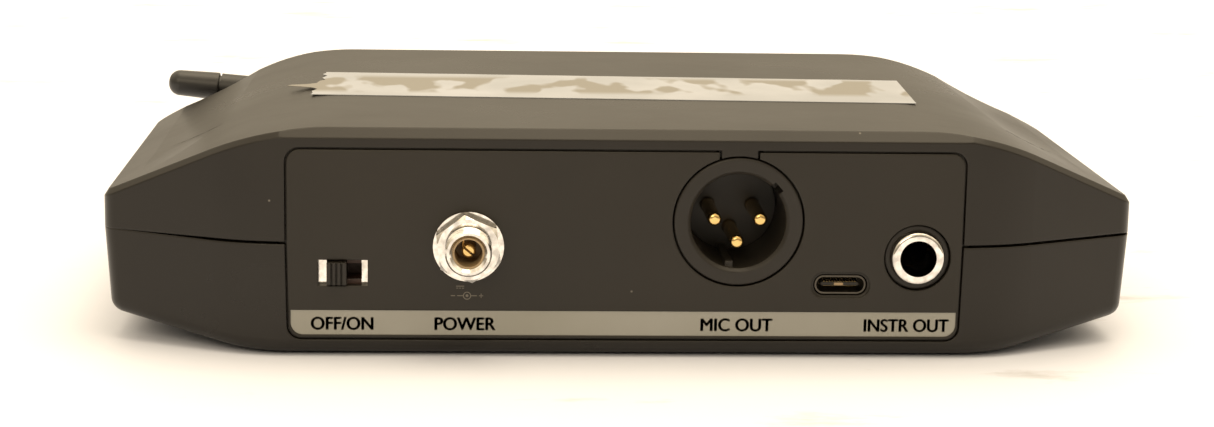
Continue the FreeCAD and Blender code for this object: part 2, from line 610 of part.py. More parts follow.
def dc_jack_bushing():
    tip = -HALF_DEPTH - DC_PROUD
    barrel = threaded_barrel(DC_X, DC_Z, DC_BARREL_R, 0.75, 0.3, tip, -HALF_DEPTH)
    back = -HALF_DEPTH + PANEL_BACK
    whole = barrel.fuse([rod_y(DC_X, DC_Z, DC_BARREL_R, -HALF_DEPTH, back),
                         rod_y(DC_X, DC_Z, 5.2, back, back + 1.0)])
    mouth = Part.makeCone(DC_BORE_R + 0.5, DC_BORE_R, 0.5, vec(DC_X, tip, DC_Z), Y)
    return whole.cut([rod_y(DC_X, DC_Z, DC_BORE_R, tip - OVER, 0), mouth]).removeSplitter()


def dc_jack_nut():
    y0, y1 = -HALF_DEPTH - 3.4, -HALF_DEPTH - 0.8
    nut = hexagon_y(DC_X, DC_Z, 12.0, DC_NUT_TURN, y0, y1)
    crown = Part.makeCone(5.3, 6.6, 1.3, vec(DC_X, y0, DC_Z), Y)
    crown = crown.fuse(rod_y(DC_X, DC_Z, 6.6, y0 + 1.3, y1))
    return nut.common(crown).cut(rod_y(DC_X, DC_Z, DC_BARREL_R, y0 - 1, y1 + 1))


def dc_jack_washer():
    return tube_y(DC_X, DC_Z, DC_WASHER_R, DC_BARREL_R, -HALF_DEPTH - 0.8, -HALF_DEPTH)


def dc_jack_body():
    back = -HALF_DEPTH + PANEL_BACK + 1.0
    body = box(DC_X - 5, DC_X + 5, back, back + 9, DC_Z - 5, DC_Z + 5.5)
    body = body.cut(rod_y(DC_X, DC_Z, DC_BORE_R, back - 1, back + 5.0))
    legs = [box(DC_X + dx - 1.0, DC_X + dx + 1.0, back + 3, back + 3.4, BOARD_TOP, DC_Z - 5)
            for dx in (-3, 3)]
    return body.fuse(legs)


def dc_jack_pin():
    """Centre contact, split across its tip so that it springs in the plug."""
    back = -HALF_DEPTH + PANEL_BACK + 6.0
    pin = rod_y(DC_X, DC_Z, DC_PIN_R, -HALF_DEPTH - DC_PROUD + 2.6, back)
    tip = [e for e in pin.Edges if e.Closed and middle_of(e).y < -55]
    pin = pin.makeFillet(0.45, tip)
    slit = box(DC_X - 3, DC_X + 3, -60, -51, DC_Z - 0.2, DC_Z + 0.2)
    slit.rotate(vec(DC_X, 0, DC_Z), Y, 40)
    return pin.cut(slit)


# ---------------------------------------------------------------- microphone output
def xlr_housing():
    back = -HALF_DEPTH + 24.0
    shell = rod_y(XLR_X, XLR_Z, XLR_RING_R, -HALF_DEPTH, back)
    edge = [e for e in shell.Edges if e.Closed and middle_of(e).y < -HALF_DEPTH + 0.1]
    shell = shell.makeFillet(0.35, edge)
    flange = rod_y(XLR_X, XLR_Z, 12.0, -HALF_DEPTH + PANEL_BACK + 0.1, -HALF_DEPTH + PANEL_BACK + 1.1)
    bore = rod_y(XLR_X, XLR_Z, XLR_BORE_R, -HALF_DEPTH - OVER, back - 2.0)
    mouth = Part.makeCone(XLR_BORE_R + 0.6, XLR_BORE_R, 0.6, vec(XLR_X, -HALF_DEPTH, XLR_Z), Y)
    latch = box(XLR_BORE_R - 1.0, XLR_BORE_R + 1.0, -HALF_DEPTH - 1, -HALF_DEPTH + 6, -1.0, 1.0)
    latch.rotate(vec(0, 0, 0), Y, -42)
    latch.translate(vec(XLR_X, 0, XLR_Z))
    rib = box(XLR_X - 2.1, XLR_X - 0.7, -HALF_DEPTH + 1.5, -HALF_DEPTH + XLR_DEPTH,
              XLR_Z - XLR_BORE_R - 0.5, XLR_Z - XLR_BORE_R + 1.1)
    tails = [rod_y(x, z, XLR_TAIL_R, back - 3, back + 1) for x, z in xlr_pin_places()]
    return shell.fuse(flange).cut([bore, mouth, latch] + tails).fuse(rib).removeSplitter()


def xlr_pin_places():
    spots = [(-1, 0), (1, 0), (0, -1)]
    return [(XLR_X + a * XLR_PIN_CIRCLE, XLR_Z + b * XLR_PIN_CIRCLE) for a, b in spots]


def xlr_insert():
    face = -HALF_DEPTH + XLR_DEPTH
    disc = rod_y(XLR_X, XLR_Z, XLR_BORE_R, face, face + 6.0)
    return disc.cut([rod_y(x, z, XLR_PIN_R, face - 1, face + OVER + 2) for x, z in xlr_pin_places()])


def xlr_pins():
    pins = []
    for x, z in xlr_pin_places():
        pin = rod_y(x, z, XLR_PIN_R, -HALF_DEPTH + XLR_PIN_RECESS, -HALF_DEPTH + XLR_DEPTH + 6.0)
        tip = [e for e in pin.Edges if e.Closed and middle_of(e).y < -45]
        pin = pin.makeFillet(0.8, tip)
        tail = rod_y(x, z, XLR_TAIL_R, -HALF_DEPTH + XLR_DEPTH + 6.0, -HALF_DEPTH + XLR_DEPTH + 11.0)
        pins.append(pin.fuse(tail))
    return Part.makeCompound(pins)


# ---------------------------------------------------------------- instrument output
def instrument_jack_ferrule():
    front = -HALF_DEPTH - JACK_PROUD
    ring = rod_y(JACK_X, JACK_Z, JACK_FERRULE_R, front, -44.0)
    edge = [e for e in ring.Edges if e.Closed and middle_of(e).y < front + 0.1]
    ring = ring.makeFillet(0.7, edge)
    return ring.cut(rod_y(JACK_X, JACK_Z, JACK_BORE_R, front - 1, -40))


def instrument_jack_body():
    body = box(JACK_X - 6.6, JACK_X + 6.6, -49.2, -HALF_DEPTH + JACK_DEPTH + 3, BOARD_TOP, 25.2)
    front = rod_y(JACK_X, JACK_Z, JACK_HOLE_R - 0.25, -HALF_DEPTH + 0.6, -49.2)
    return body.fuse(front).cut([
        rod_y(JACK_X, JACK_Z, JACK_FERRULE_R, -60, -44.0),
        rod_y(JACK_X, JACK_Z, 4.3, -44.0, -HALF_DEPTH + JACK_DEPTH)]).removeSplitter()


def instrument_jack_contacts():
    """Leaf springs for the tip, ring and sleeve of the plug, beside its path."""
    leaves = []
    for turn, y0, y1 in ((90, -42.0, -26.0), (-90, -41.0, -33.0), (0, -42.5, -38.0)):
        leaf = box(JACK_BORE_R + 0.2, JACK_BORE_R + 0.6, y0, y1, -1.0, 1.0)
        leaf.rotate(vec(0, 0, 0), Y, turn)
        leaf.translate(vec(JACK_X, 0, JACK_Z))
        leaves.append(leaf)
    return Part.makeCompound(leaves)


# ---------------------------------------------------------------- USB socket
def usb_c_shell():
    y0, y1 = -HALF_DEPTH + 0.7, -HALF_DEPTH + 8.0
    outer = rounded_bar_y(USB_X, USB_Z, USB_W, USB_H, USB_H / 2 - 0.05, y0, y1)
    inner = rounded_bar_y(USB_X, USB_Z, USB_W - 2 * USB_SKIN, USB_H - 2 * USB_SKIN,
                          USB_H / 2 - USB_SKIN - 0.05, y0 - 1, y1 - 1.2)
    return outer.cut(inner)


def usb_c_tongue():
    y0, y1 = -HALF_DEPTH + 1.4, -HALF_DEPTH + 6.8
    return rounded_bar_y(USB_X, USB_Z, USB_TONGUE_W, USB_TONGUE_T, 0.3, y0, y1)


# ---------------------------------------------------------------- antennas
def place_antenna(shape, side):
    """From the antenna's own frame (mast along -X, elbow axis Z) to its place."""
    shape = shape.copy()
    shape.rotate(vec(0, 0, 0), Y, ANTENNA_LIFT)
    shape.translate(vec(side * ANTENNA_X, ANTENNA_Y, ANTENNA_Z))
    return shape


def antenna_base():
    """Bushing through the shell: flange outside, barrel inside, bore for the swivel."""
    flange_back, flange_front = FLANGE_BACK_Y - ANTENNA_Y, FLANGE_FRONT_Y - ANTENNA_Y
    flange = rod_y(0, 0, FLANGE_R - 0.05, flange_back, flange_front)
    barrel = rod_y(0, 0, BARREL_R, -12.3, flange_back)
    return flange.fuse(barrel).cut(rod_y(0, 0, SWIVEL_R + HINGE_CLEAR, -20, 5))


def antenna_nut():
    nut = hexagon_y(0, 0, 10.0, 0, -11.6, -9.6)
    return nut.cut(rod_y(0, 0, BARREL_R, -20, 0))


def antenna_knuckle():
    """Turntable with a stem through the base and a fork for the elbow pin."""
    turntable = rod_y(0, 0, 4.1, FLANGE_FRONT_Y - ANTENNA_Y + 0.1, -3.2)
    stem = rod_y(0, 0, SWIVEL_R, -13.4, FLANGE_FRONT_Y - ANTENNA_Y + 0.1)
    fork = box(-EAR_R, EAR_R, -3.3, 0, -3.2, 3.2).fuse(rod_z(0, 0, EAR_R, -3.2, 3.2))
    gap = box(-6, 6, -3.2, 6, -1.75, 1.75)
    return turntable.fuse([stem, fork.cut(gap)]).cut(rod_z(0, 0, ELBOW_R, -5, 5)).removeSplitter()


def antenna_retaining_ring():
    return tube_y(0, 0, SWIVEL_R + 1.0, SWIVEL_R, -13.2, -12.5)


def antenna_elbow_pin():
    pin = rod_z(0, 0, ELBOW_R, -3.4, 3.4)
    ends = [e for e in pin.Edges if e.Closed]
    return pin.makeFillet(0.2, ends)


def antenna_mast():
    """Tongue at the elbow, a round stalk, a narrow neck and a spigot for the cap."""
    tongue = box(-4.2, 0, -2.4, 2.4, -1.6, 1.6).fuse(rod_z(0, 0, 2.4, -1.6, 1.6))
    stalk = Part.makeCylinder(MAST_R, NECK_AT - SHOULDER_AT, vec(-SHOULDER_AT, 0, 0), -X)
    neck = Part.makeCylinder(2.3, 0.45, vec(-NECK_AT, 0, 0), -X)
    spigot = Part.makeCylinder(1.6, 7.0, vec(-NECK_AT, 0, 0), -X)
    return tongue.fuse([stalk, neck, spigot]).cut(rod_z(0, 0, ELBOW_R + HINGE_CLEAR, -5, 5))


def antenna_cap():
    start = NECK_AT + 0.45
    taper = Part.makeCone(CAP_R, CAP_R - 0.3, ANTENNA_LENGTH - start, vec(-start, 0, 0), -X)
    far = [e for e in taper.Edges if e.Closed and middle_of(e).x < -start - 1]
    taper = taper.makeFillet(CAP_R - 0.5, far)
    near = [e for e in taper.Edges if e.Closed and middle_of(e).x > -start - 1]
    taper = taper.makeFillet(0.3, near)
    return taper.cut(Part.makeCylinder(1.6, 7.0 - 0.45, vec(-start, 0, 0), -X))


ANTENNA_PARTS = {
    "antenna_base": antenna_base,
    "antenna_nut": antenna_nut,
    "antenna_knuckle": antenna_knuckle,
    "antenna_retaining_ring": antenna_retaining_ring,
    "antenna_elbow_pin": antenna_elbow_pin,
    "antenna_mast": antenna_mast,
    "antenna_cap": antenna_cap,
}


# ---------------------------------------------------------------- the whole receiver
def build():
    form = outer_form()
    nodes = {
        "upper_shell": upper_shell(form),
        "lower_shell": lower_shell(form),
        "rear_panel": rear_panel(),
        "rear_label_strip": label_strip(-HALF_DEPTH + STRIP_RECESS - STRIP_T, -HALF_DEPTH + STRIP_RECESS),
        "front_panel": front_panel(),
        "top_label_tape": top_label_tape(),
        "case_screws": case_screws(),
        "rubber_feet": rubber_feet(),
        "main_board": main_board(),
        "board_screws": board_screws(),
        "board_chips": board_chips(),
        "rf_shield_can": rf_shield_can(),
        "control_board": control_board(),
        "tact_switches": tact_switches(),
        "display_module": display_module(),
        "display_window": display_window(),
        "display_ribbon": display_ribbon(),
        "light_pipes": light_pipes(),
        "status_leds": status_leds(),
        "power_switch_frame": power_switch_frame(),
        "power_switch_body": power_switch_body(),
        "power_switch_slider": power_switch_slider(),
        "dc_jack_bushing": dc_jack_bushing(),
        "dc_jack_nut": dc_jack_nut(),
        "dc_jack_washer": dc_jack_washer(),
        "dc_jack_body": dc_jack_body(),
        "dc_jack_pin": dc_jack_pin(),
        "xlr_housing": xlr_housing(),
        "xlr_insert": xlr_insert(),
        "xlr_pins": xlr_pins(),
        "instrument_jack_ferrule": instrument_jack_ferrule(),
        "instrument_jack_body": instrument_jack_body(),
        "instrument_jack_contacts": instrument_jack_contacts(),
        "usb_c_shell": usb_c_shell(),
        "usb_c_tongue": usb_c_tongue(),
    }
    for name in BUTTONS:
        nodes[name] = button(name)
    for side, prefix in ((-1, "left_"), (1, "right_")):
        for name, make in ANTENNA_PARTS.items():
            nodes[prefix + name] = place_antenna(make(), side)
    return nodes


os.makedirs("parts", exist_ok=True)
for node_name, node_shape in build().items():
    export(node_name, node_shape)
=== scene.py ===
import json
import math

import bmesh
import bpy
from mathutils import Matrix, Vector, noise


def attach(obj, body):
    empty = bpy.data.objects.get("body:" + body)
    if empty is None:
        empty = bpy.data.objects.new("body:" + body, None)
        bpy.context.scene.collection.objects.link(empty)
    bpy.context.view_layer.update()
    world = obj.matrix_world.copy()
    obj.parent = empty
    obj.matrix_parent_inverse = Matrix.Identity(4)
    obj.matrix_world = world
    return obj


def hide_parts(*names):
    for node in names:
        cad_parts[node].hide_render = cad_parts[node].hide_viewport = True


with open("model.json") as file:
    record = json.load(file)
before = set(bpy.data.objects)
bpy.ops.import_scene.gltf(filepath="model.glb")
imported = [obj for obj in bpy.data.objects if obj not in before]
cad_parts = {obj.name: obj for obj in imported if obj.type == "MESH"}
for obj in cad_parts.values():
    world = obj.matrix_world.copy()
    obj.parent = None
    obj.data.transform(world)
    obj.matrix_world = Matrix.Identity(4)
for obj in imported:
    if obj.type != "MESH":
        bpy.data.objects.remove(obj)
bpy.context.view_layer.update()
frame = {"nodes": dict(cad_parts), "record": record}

# Looks of a table-top wireless audio receiver, in metres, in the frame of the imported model:
# the connector panel faces -Y, the display panel faces +Y, +Z is up.
NODES = frame["nodes"]
MM = 0.001


# ---------------------------------------------------------------- node material helpers
def shader_of(material):
    return next(n for n in material.node_tree.nodes if n.type == "BSDF_PRINCIPLED")


def new_material(name):
    """A Principled material, its node tree, its shader, and a shared coordinate socket."""
    material = bpy.data.materials.new("look_" + name)
    material.use_nodes = True
    tree = material.node_tree
    coords = tree.nodes.new("ShaderNodeTexCoord").outputs["Object"]
    return material, tree, shader_of(material), coords


def link(tree, source, target):
    tree.links.new(source, target)


def noise_node(tree, coords, scale, detail=3.0, roughness=0.5, stretch=None):
    """A noise texture; stretch scales the coordinates first."""
    if stretch:
        mapping = tree.nodes.new("ShaderNodeMapping")
        mapping.inputs["Scale"].default_value = stretch
        link(tree, coords, mapping.inputs["Vector"])
        coords = mapping.outputs["Vector"]
    node = tree.nodes.new("ShaderNodeTexNoise")
    node.inputs["Scale"].default_value = scale
    node.inputs["Detail"].default_value = detail
    node.inputs["Roughness"].default_value = roughness
    link(tree, coords, node.inputs["Vector"])
    return node.outputs["Fac"]


def ramp_node(tree, factor, low, high, low_value, high_value):
    """Maps factor between low and high to two greys or two colours."""
    node = tree.nodes.new("ShaderNodeValToRGB")
    first, last = node.color_ramp.elements
    first.position, last.position = low, high
    first.color, last.color = as_colour(low_value), as_colour(high_value)
    link(tree, factor, node.inputs["Fac"])
    return node.outputs["Color"]


def as_colour(value):
    if isinstance(value, (int, float)):
        return (value, value, value, 1.0)
    return (*value, 1.0)


def mix_colours(tree, factor, low, high):
    """Colour low where factor is 0 and high where it is 1; either may be a socket."""
    node = tree.nodes.new("ShaderNodeMix")
    node.data_type = "RGBA"
    for socket, value in ((node.inputs[6], low), (node.inputs[7], high)):
        if isinstance(value, tuple):
            socket.default_value = as_colour(value)
        else:
            link(tree, value, socket)
    if isinstance(factor, (int, float)):
        node.inputs[0].default_value = factor
    else:
        link(tree, factor, node.inputs[0])
    return node.outputs[2]


def bump(tree, shader, height, strength, distance):
    node = tree.nodes.new("ShaderNodeBump")
    node.inputs["Strength"].default_value = strength
    node.inputs["Distance"].default_value = distance
    link(tree, height, node.inputs["Height"])
    link(tree, node.outputs["Normal"], shader.inputs["Normal"])


def soft_edges(tree, shader, radius_mm):
    """Rounds the look of sharp moulded edges by a small radius."""
    node = tree.nodes.new("ShaderNodeBevel")
    node.samples = 6
    node.inputs["Radius"].default_value = radius_mm * MM
    normal = shader.inputs["Normal"]
    target = normal.links[0].from_node.inputs["Normal"] if normal.links else normal
    link(tree, node.outputs["Normal"], target)


def textured_plastic(name, dark, light, rough, grain_mm, grain_depth_mm, dust=0.0, shine=0.5):
    """Moulded plastic: uneven tone, fine spark-eroded grain, and a few pale dust specks."""
    material, tree, shader, coords = new_material(name)
    cloud = noise_node(tree, coords, 35.0, 4.0)
    tone = mix_colours(tree, ramp_node(tree, cloud, 0.3, 0.75, 0.0, 1.0), dark, light)
    if dust:
        specks = tree.nodes.new("ShaderNodeTexVoronoi")
        specks.inputs["Scale"].default_value = 210.0
        link(tree, coords, specks.inputs["Vector"])
        spot = ramp_node(tree, specks.outputs["Distance"], 0.02, 0.055, 1.0, 0.0)
        rare = ramp_node(tree, noise_node(tree, coords, 60.0, 2.0), 0.6, 0.7, 0.0, dust)
        product = tree.nodes.new("ShaderNodeMath")
        product.operation = "MULTIPLY"
        link(tree, spot, product.inputs[0])
        link(tree, rare, product.inputs[1])
        tone = mix_colours(tree, product.outputs["Value"], tone, (0.32, 0.29, 0.25))
    link(tree, tone, shader.inputs["Base Color"])
    smudge = noise_node(tree, coords, 22.0, 5.0, 0.6)
    rough_ramp = ramp_node(tree, smudge, 0.25, 0.8, rough - 0.05, rough + 0.07)
    link(tree, rough_ramp, shader.inputs["Roughness"])
    shader.inputs["Specular IOR Level"].default_value = shine
    grain = noise_node(tree, coords, 1.0 / (grain_mm * MM), 2.0, 0.6)
    bump(tree, shader, grain, 0.6, grain_depth_mm * MM)
    return material


def bright_metal(name, colour, rough, scratch=0.12, stain_scale=260.0, darkest=0.72):
    """Plated metal with faint turning marks and a slightly uneven polish."""
    material, tree, shader, coords = new_material(name)
    shader.inputs["Metallic"].default_value = 1.0
    stain = noise_node(tree, coords, stain_scale, 4.0)
    darker = tuple(c * darkest for c in colour)
    tone = mix_colours(tree, ramp_node(tree, stain, 0.35, 0.7, 0.0, 1.0), darker, colour)
    link(tree, tone, shader.inputs["Base Color"])
    marks = noise_node(tree, coords, 900.0, 3.0, 0.6, stretch=(1.0, 6.0, 1.0))
    link(tree, ramp_node(tree, marks, 0.3, 0.8, rough, rough + scratch), shader.inputs["Roughness"])
    bump(tree, shader, marks, 0.25, 0.01 * MM)
    return material


def smooth_plastic(name, colour, rough, coat=0.0):
    material, tree, shader, coords = new_material(name)
    cloud = noise_node(tree, coords, 120.0, 3.0)
    lighter = tuple(min(1.0, c * 1.35 + 0.002) for c in colour)
    link(tree, mix_colours(tree, cloud, colour, lighter), shader.inputs["Base Color"])
    smudge = noise_node(tree, coords, 400.0, 3.0)
    link(tree, ramp_node(tree, smudge, 0.3, 0.8, rough, rough + 0.08), shader.inputs["Roughness"])
    shader.inputs["Coat Weight"].default_value = coat
    bump(tree, shader, smudge, 0.15, 0.02 * MM)
    return material


def circuit_board(name):
    """Green solder mask with fine copper tracks showing through as lighter lines."""
    material, tree, shader, coords = new_material(name)
    tracks = tree.nodes.new("ShaderNodeTexBrick")
    tracks.inputs["Scale"].default_value = 260.0
    tracks.inputs["Mortar Size"].default_value = 0.06
    tracks.inputs["Color1"].default_value = (0.010, 0.085, 0.035, 1)
    tracks.inputs["Color2"].default_value = (0.008, 0.065, 0.028, 1)
    tracks.inputs["Mortar"].default_value = (0.02, 0.16, 0.06, 1)
    link(tree, coords, tracks.inputs["Vector"])
    link(tree, tracks.outputs["Color"], shader.inputs["Base Color"])
    shader.inputs["Roughness"].default_value = 0.35
    return material


def tinted_glass(name, colour, alpha, rough):
    material, tree, shader, coords = new_material(name)
    shader.inputs["Base Color"].default_value = as_colour(colour)
    shader.inputs["Alpha"].default_value = alpha
    shader.inputs["Coat Weight"].default_value = 0.5
    smudge = noise_node(tree, coords, 90.0, 4.0)
    link(tree, ramp_node(tree, smudge, 0.3, 0.8, rough, rough + 0.06), shader.inputs["Roughness"])
    return material


def worn_tape(name):
    """White cloth tape: fine weave and low bulges in its bump, with painted shade in their dips and
    painted light on their crowns, and beige patches, away from the edges, where print has rubbed off.
    """
    material, tree, shader, coords = new_material(name)
    bulge_height = noise_node(tree, coords, 60.0, 4.0)
    blocks = noise_node(tree, coords, 120.0, 2.0, 0.5, stretch=(1.0, 0.45, 1.0))
    patches = ramp_node(tree, blocks, 0.47, 0.53, 0.0, 1.0)
    split = tree.nodes.new("ShaderNodeSeparateXYZ")
    link(tree, coords, split.inputs["Vector"])
    across = tree.nodes.new("ShaderNodeMath")
    across.operation = "ABSOLUTE"
    link(tree, split.outputs["Y"], across.inputs[0])
    inside = ramp_node(tree, across.outputs["Value"], 0.0085, 0.0105, 1.0, 0.0)
    faded = mix_colours(tree, inside, (0.0, 0.0, 0.0), patches)
    # Tone follows the bump's height: painted shade in the dips, painted light on the crowns.
    dip_shade, clean, rubbed = (0.33, 0.345, 0.375), (0.42, 0.435, 0.475), (0.225, 0.212, 0.188)
    painted_bulge_shading = mix_colours(tree, ramp_node(tree, bulge_height, 0.35, 0.7, 0.0, 1.0), dip_shade, clean)
    tone = mix_colours(tree, faded, painted_bulge_shading, rubbed)
    link(tree, tone, shader.inputs["Base Color"])
    shader.inputs["Roughness"].default_value = 0.5
    bump(tree, shader, bulge_height, 0.8, 0.25 * MM)
    return material


CASE = textured_plastic(
    "case_plastic", (0.0095, 0.0072, 0.0044), (0.0130, 0.0100, 0.0064), 0.29, 0.22, 0.012, 0.5, 0.33)
PANEL = textured_plastic(
    "panel_plastic", (0.0155, 0.0128, 0.0090), (0.0195, 0.0160, 0.0114), 0.38, 0.16, 0.010, 0.6, 0.32)
LABEL = textured_plastic("label_grey", (0.255, 0.246, 0.209), (0.305, 0.296, 0.268), 0.42, 0.3, 0.01)
RUBBER = textured_plastic("rubber_black", (0.016, 0.016, 0.016), (0.022, 0.021, 0.020), 0.7, 0.3, 0.05)
ANTENNA = textured_plastic(
    "antenna_rubber", (0.010, 0.009, 0.008), (0.014, 0.013, 0.012), 0.42, 0.25, 0.012)
ANTENNA_METAL = textured_plastic(
    "antenna_metal", (0.013, 0.012, 0.011), (0.018, 0.017, 0.015), 0.32, 0.4, 0.01)
BUTTON = textured_plastic("button_black", (0.020, 0.019, 0.018), (0.027, 0.026, 0.024), 0.4, 0.25, 0.01)
SOCKET_BLACK = textured_plastic(
    "connector_black", (0.0145, 0.0122, 0.0094), (0.0195, 0.0162, 0.0128), 0.36, 0.3, 0.006, 0.0, 0.32)
CHROME = bright_metal("connector_chrome", (0.97, 0.93, 0.88), 0.07, 0.08, 700.0, 0.55)
STEEL = bright_metal("can_steel", (0.60, 0.58, 0.54), 0.24)
USB_STEEL = bright_metal("usb_steel", (0.10, 0.09, 0.075), 0.3)
SCREW = bright_metal("screw_steel", (0.32, 0.32, 0.33), 0.30)
GOLD = bright_metal("contact_gold", (0.95, 0.66, 0.26), 0.14)
BROWN = smooth_plastic("connector_brown", (0.10, 0.065, 0.035), 0.45)
SWITCH_BROWN = smooth_plastic("switch_brown", (0.035, 0.014, 0.008), 0.5)
CHIP = smooth_plastic("chip_black", (0.018, 0.018, 0.020), 0.5)
DISPLAY = smooth_plastic("display_dark", (0.012, 0.015, 0.018), 0.2, 0.3)
AMBER = smooth_plastic("ribbon_amber", (0.45, 0.22, 0.05), 0.35)
BOARD = circuit_board("board_green")
WINDOW = tinted_glass("window_clear", (0.02, 0.02, 0.025), 0.55, 0.04)
LIGHT_PIPE = tinted_glass("light_pipe_clear", (0.75, 0.80, 0.80), 0.6, 0.3)
TAPE = worn_tape("label_tape")
PRINT_DARK = smooth_plastic("print_dark", (0.105, 0.094, 0.075), 0.6)
LINER_TAN = smooth_plastic("liner_tan", (0.30, 0.21, 0.11), 0.4)
PRINT_FAINT = smooth_plastic("print_faint", (0.125, 0.11, 0.088), 0.6)
EDGE_RADIUS = 0.45         # millimetres, on the moulded parts
for moulded in (CASE, PANEL, SOCKET_BLACK):
    soft_edges(moulded.node_tree, shader_of(moulded), EDGE_RADIUS)

SLOT_MATERIALS = {m.name.removeprefix("look_"): m for m in (
    CASE, PANEL, LABEL, TAPE, RUBBER, ANTENNA, ANTENNA_METAL, BUTTON, CHROME, STEEL, SCREW, GOLD,
    SOCKET_BLACK, BROWN, CHIP, DISPLAY, AMBER, BOARD, WINDOW, LIGHT_PIPE)}
NODE_MATERIALS = {"usb_c_shell": USB_STEEL, "power_switch_body": SWITCH_BROWN}


def paint_cad_nodes():
    """Gives every CAD node the material of its slot in the record."""
    for part in frame["record"]["subparts"]:
        material = NODE_MATERIALS.get(part["node"], SLOT_MATERIALS[part["material_slot"]])
        mesh = NODES[part["node"]].data
        mesh.materials.clear()
        mesh.materials.append(material)


paint_cad_nodes()


# ---------------------------------------------------------------- pieces that ride on the model
def add_piece(name, mesh, material, body):
    """A finished mesh, in world metres, that moves with one body; plain print takes no slot."""
    mesh.materials.clear()
    mesh.materials.append(material)
    piece = bpy.data.objects.new(name, mesh)
    bpy.context.scene.collection.objects.link(piece)
    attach(piece, body)
    return piece


def mesh_from(bm, name):
    mesh = bpy.data.meshes.new(name)
    bmesh.ops.recalc_face_normals(bm, faces=bm.faces)
    bm.to_mesh(mesh)
    bm.free()
    return mesh


def add_box(bm, x0, x1, y0, y1, z0, z1):
    """A box given by its limits in millimetres."""
    centre = Vector(((x0 + x1) / 2, (y0 + y1) / 2, (z0 + z1) / 2)) * MM
    size = Matrix.Diagonal((abs(x1 - x0) * MM, abs(y1 - y0) * MM, abs(z1 - z0) * MM, 1.0))
    bmesh.ops.create_cube(bm, size=1.0, matrix=Matrix.Translation(centre) @ size)


def add_slab(bm, outline, low, high, to_world):
    """A flat-sided slab: an outline in millimetres, between two levels of its own third axis."""
    rings = [[bm.verts.new(to_world(a, b, level)) for a, b in outline] for level in (low, high)]
    count = len(outline)
    for k in range(count):
        n = (k + 1) % count
        bm.faces.new((rings[0][k], rings[0][n], rings[1][n], rings[1][k]))
    for ring in rings:
        edges = [bm.edges.get((ring[k], ring[(k + 1) % count])) for k in range(count)]
        bmesh.ops.triangle_fill(bm, edges=edges, use_beauty=True)


def facing_panel(x, z, y):
    """Places a slab's outline in X and Z, with its thickness along Y."""
    return Vector((x, y, z)) * MM


def add_ring(bm, x, z, r_in, r_out, y0, y1, steps=40):
    """A flat ring on an axis along Y."""
    loops = []
    for r, y in ((r_in, y0), (r_out, y0), (r_out, y1), (r_in, y1)):
        loops.append([bm.verts.new(Vector((
            x + r * math.cos(math.tau * k / steps), y, z + r * math.sin(math.tau * k / steps))) * MM)
            for k in range(steps)])
    for i in range(4):
        a, b = loops[i], loops[(i + 1) % 4]
        for k in range(steps):
            n = (k + 1) % steps
            bm.faces.new((a[k], a[n], b[n], b[k]))


# Function words printed on the label strip: text, middle X, width, in millimetres.
STRIP_FACE_Y = -51.9
STRIP_WORDS = (("OFF/ON", -49.0, 10.8), ("POWER", -27.8, 10.6), ("MIC OUT", 19.4, 12.6),
               ("INSTR OUT", 49.2, 15.0))
WORD_Z, WORD_H = 5.88, 2.35
BOLD_BY = 0.1


def word_mesh(text, middle_x, width):
    """One word as thin print facing -Y, struck five times a hair apart to make it bold."""
    curve = bpy.data.curves.new("word", "FONT")
    curve.body = text
    curve.extrude = 0.01
    word = bpy.data.objects.new("word", curve)
    bpy.context.scene.collection.objects.link(word)
    bpy.context.view_layer.update()
    plain = bpy.data.meshes.new_from_object(word.evaluated_get(bpy.context.evaluated_depsgraph_get()))
    bpy.data.objects.remove(word)
    low = [min(v.co[k] for v in plain.vertices) for k in range(3)]
    high = [max(v.co[k] for v in plain.vertices) for k in range(3)]
    bm = bmesh.new()
    for shift, lift in ((0, 0), (-1, -1), (-1, 1), (1, -1), (1, 1)):
        before = len(bm.verts)
        bm.from_mesh(plain)
        bm.verts.ensure_lookup_table()
        for v in bm.verts[before:]:
            across, up, out = [(v.co[k] - low[k]) / (high[k] - low[k]) for k in range(3)]
            v.co = Vector((middle_x + (across - 0.5) * (width - 2 * BOLD_BY) + shift * BOLD_BY,
                           STRIP_FACE_Y - out * 0.02 - abs(shift) * 0.002,
                           WORD_Z + (up - 0.5) * (WORD_H - BOLD_BY) + lift * BOLD_BY / 2)) * MM
    mesh = bpy.data.meshes.new("word")
    bm.to_mesh(mesh)
    bm.free()
    return mesh


def make_words():
    for text, middle_x, width in STRIP_WORDS:
        name = "print_" + "".join(c for c in text.lower() if c.isalnum())
        add_piece(name, word_mesh(text, middle_x, width), PRINT_DARK, "receiver")


# Faint print under the power inlet: middle X and Z, and how far it stands off the panel face.
POLARITY_X, POLARITY_Z = -27.5, 10.9
PANEL_FACE_Y, PRINT_T = -52.0, 0.02


def make_polarity_mark():
    """The usual signs of a direct-current inlet: a line over dashes, and centre polarity."""
    bm = bmesh.new()
    x, z, face, proud = POLARITY_X, POLARITY_Z, PANEL_FACE_Y, PANEL_FACE_Y - PRINT_T
    add_ring(bm, x, z, 0.55, 0.70, proud, face)
    add_ring(bm, x, z, 0.0001, 0.24, proud, face, 20)
    for side in (-1, 1):
        add_box(bm, x + side * 0.72, x + side * 1.7, proud, face, z - 0.07, z + 0.07)
        add_box(bm, x + side * 2.05, x + side * 2.8, proud, face, z - 0.07, z + 0.07)
    add_box(bm, x + 2.36, x + 2.50, proud, face, z - 0.38, z + 0.38)
    add_box(bm, x - 1.9, x - 0.5, proud, face, z + 1.62, z + 1.76)
    for k in (-1, 0, 1):
        add_box(bm, x + 0.5 * k - 1.37, x + 0.5 * k - 1.03, proud, face, z + 1.28, z + 1.40)
    add_piece("print_polarity", mesh_from(bm, "polarity"), PRINT_FAINT, "receiver")


